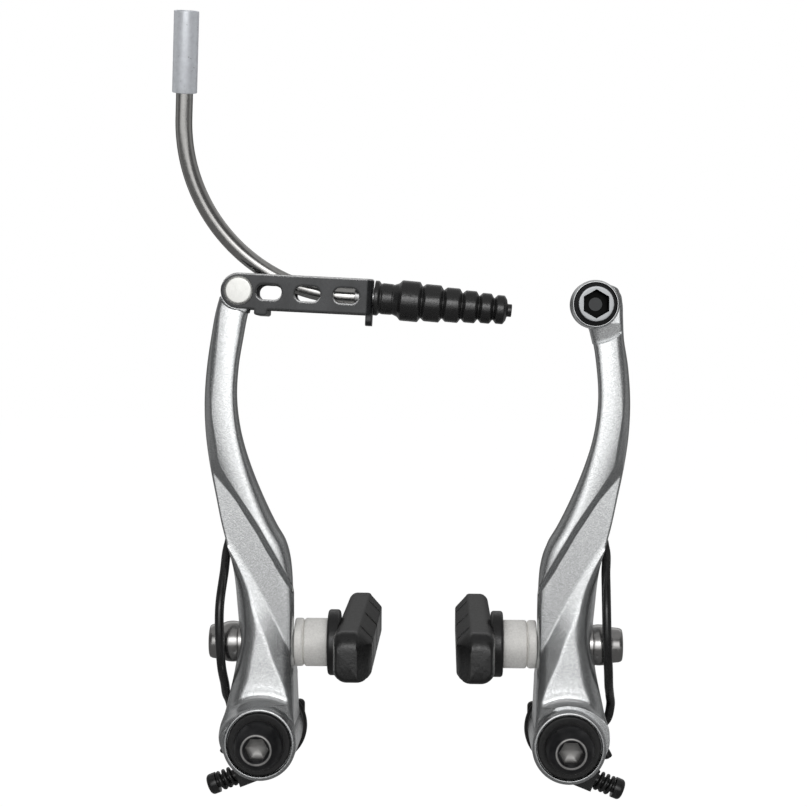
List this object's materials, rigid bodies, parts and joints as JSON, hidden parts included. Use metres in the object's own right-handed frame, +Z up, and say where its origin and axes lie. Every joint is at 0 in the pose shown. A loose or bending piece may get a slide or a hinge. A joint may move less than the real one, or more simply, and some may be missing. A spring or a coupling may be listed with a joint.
{
  "type": "linear-pull bicycle brake",
  "caption": "Linear-pull rim brake for a bicycle: a pair of forged arms with pads, pivot sleeves, return springs, slotted link, lead pipe, rubber boot and cable anchor.",
  "frame": {"origin": "middle between the two pivot axes, in the plane of the pad studs", "axes": "+X across the wheel to the viewer's right, +Y from the front of the brake back to the frame or fork, +Z up"},
  "size_m": [0.1108, 0.071, 0.1912],
  "materials": {
    "arm": "satin",
    "plain_steel": "satin",
    "bright_steel": "polished",
    "black_bolt": "satin",
    "black_wire": "gloss",
    "black_plastic": "satin",
    "washer_metal": "blasted",
    "pad_rubber": "matte",
    "dark_plate": "gloss",
    "liner_plastic": "matte",
    "ferrule_metal": "satin",
    "boot_rubber": "matte"
  },
  "bodies": {
    "pivots": {"left_sleeve": "plain_steel", "right_sleeve": "plain_steel", "left_pivot_washer": "black_plastic", "right_pivot_washer": "black_plastic", "left_pivot_bolt": "black_bolt", "right_pivot_bolt": "black_bolt", "left_spring_holder": "black_plastic", "right_spring_holder": "black_plastic", "left_anchor_pin": "plain_steel", "right_anchor_pin": "plain_steel", "left_screw_spring": "black_wire", "right_screw_spring": "black_wire"},
    "left_arm": {"left_arm": "arm", "left_return_spring": "black_wire", "left_pad_stud": "plain_steel", "left_pad": "pad_rubber", "left_inner_dome": "washer_metal", "left_inner_cup": "washer_metal", "left_outer_dome": "washer_metal", "left_outer_cup": "washer_metal", "left_pad_nut": "bright_steel"},
    "right_arm": {"right_arm": "arm", "right_return_spring": "black_wire", "right_pad_stud": "plain_steel", "right_pad": "pad_rubber", "right_inner_dome": "washer_metal", "right_inner_cup": "washer_metal", "right_outer_dome": "washer_metal", "right_outer_cup": "washer_metal", "right_pad_nut": "bright_steel", "cable_washer": "black_bolt", "cable_bolt": "bright_steel"},
    "link": {"link": "dark_plate", "link_rivet": "bright_steel"},
    "lead": {"lead_pipe": "bright_steel", "pipe_liner": "liner_plastic", "pipe_nose": "plain_steel", "pipe_ferrule": "ferrule_metal", "boot": "boot_rubber"},
    "left_screw": {"left_tension_screw": "black_bolt"},
    "right_screw": {"right_tension_screw": "black_bolt"}
  },
  "joints": [
    {"name": "left_arm_swing", "type": "hinge", "parent": "pivots", "child": "left_arm", "pos_m": [-0.03675, 0, 0], "axis": [0, 1, 0], "range_deg": [-30, 3], "stiffness_Nm_per_rad": 1, "deforming": ["left_return_spring"]},
    {"name": "right_arm_swing", "type": "hinge", "parent": "pivots", "child": "right_arm", "pos_m": [0.03675, 0, 0], "axis": [0, -1, 0], "range_deg": [-30, 3], "stiffness_Nm_per_rad": 1, "deforming": ["right_return_spring"]},
    {"name": "link_swing", "type": "hinge", "parent": "left_arm", "child": "link", "pos_m": [-0.04315, 0, 0.1079], "axis": [0, 1, 0], "range_deg": [-60, 15]},
    {"name": "pipe_swivel", "type": "hinge", "parent": "link", "child": "lead", "pos_m": [-0.01088, 0, 0.10649], "axis": [0.999, 0, -0.0436], "range_deg": [-28, 2]},
    {"name": "left_screw_travel", "type": "slide", "parent": "pivots", "child": "left_screw", "axis": [-0.9272, 0, -0.3746], "range_m": [-0.001, 0.002], "deforming": ["left_screw_spring"]},
    {"name": "right_screw_travel", "type": "slide", "parent": "pivots", "child": "right_screw", "axis": [0.9272, 0, -0.3746], "range_m": [-0.001, 0.002], "deforming": ["right_screw_spring"]}
  ]
}
